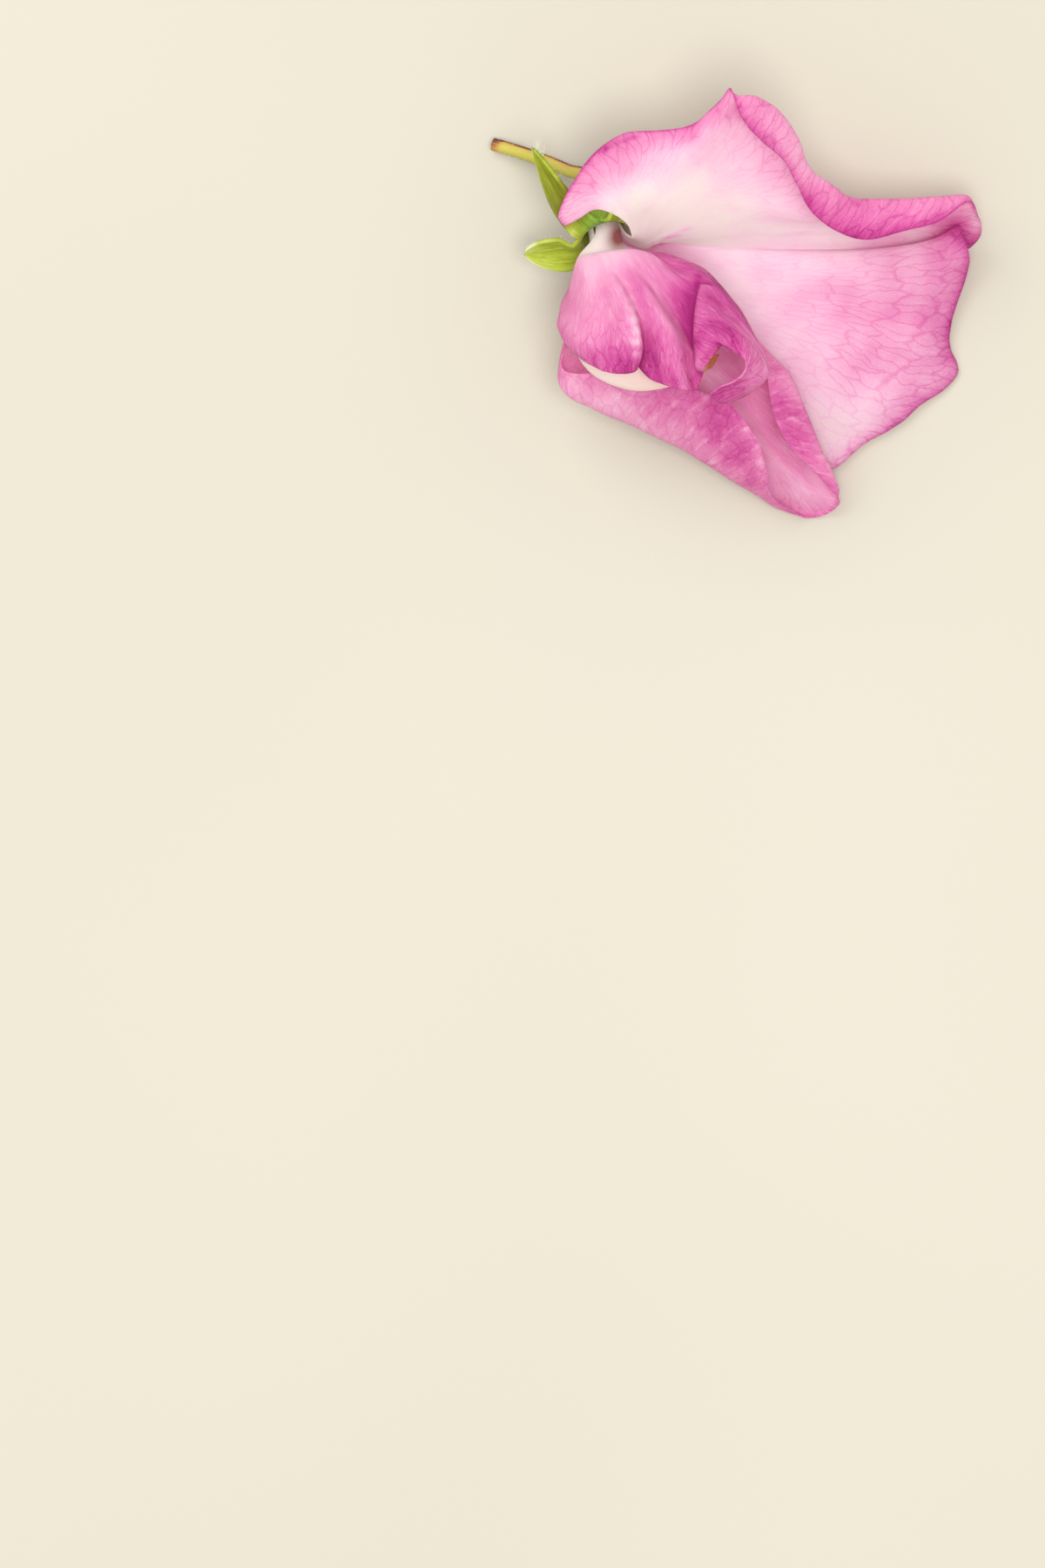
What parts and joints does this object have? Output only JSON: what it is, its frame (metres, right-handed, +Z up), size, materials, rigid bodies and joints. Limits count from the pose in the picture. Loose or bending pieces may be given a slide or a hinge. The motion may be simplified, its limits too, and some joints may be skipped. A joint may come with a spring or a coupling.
{
  "type": "sweet pea flower",
  "caption": "Single picked bloom with a broad waved standard, two folded wings, a keel, a sepalled calyx and a short stalk, lying on its side.",
  "frame": {"origin": "middle of the bloom's bounding box at the surface it lies on", "axes": "+X from the cut end of the stalk towards the notched tip of the standard, +Y towards the standard's rolled upper half, +Z up from the surface"},
  "size_m": [0.0538, 0.047, 0.0224],
  "materials": {
    "stalk": "fresh green stalk, soft satin, with fine hairs",
    "calyx": "fresh green leafy tissue, matte, with fine hairs",
    "standard_petal": "thin translucent petal, matte, fine net of veins",
    "wing_petal": "thin translucent petal, matte, fine net of veins",
    "keel_petal": "thin translucent petal, soft satin",
    "stamen": "matte",
    "pistil": "matte"
  },
  "bodies": {
    "root": {"stalk": "stalk", "calyx": "calyx", "standard": "standard_petal", "wing_upper": "wing_petal", "wing_lower": "wing_petal", "keel": "keel_petal", "stamens": "stamen", "free_stamen": "stamen", "pistil": "pistil"}
  },
  "joints": []
}
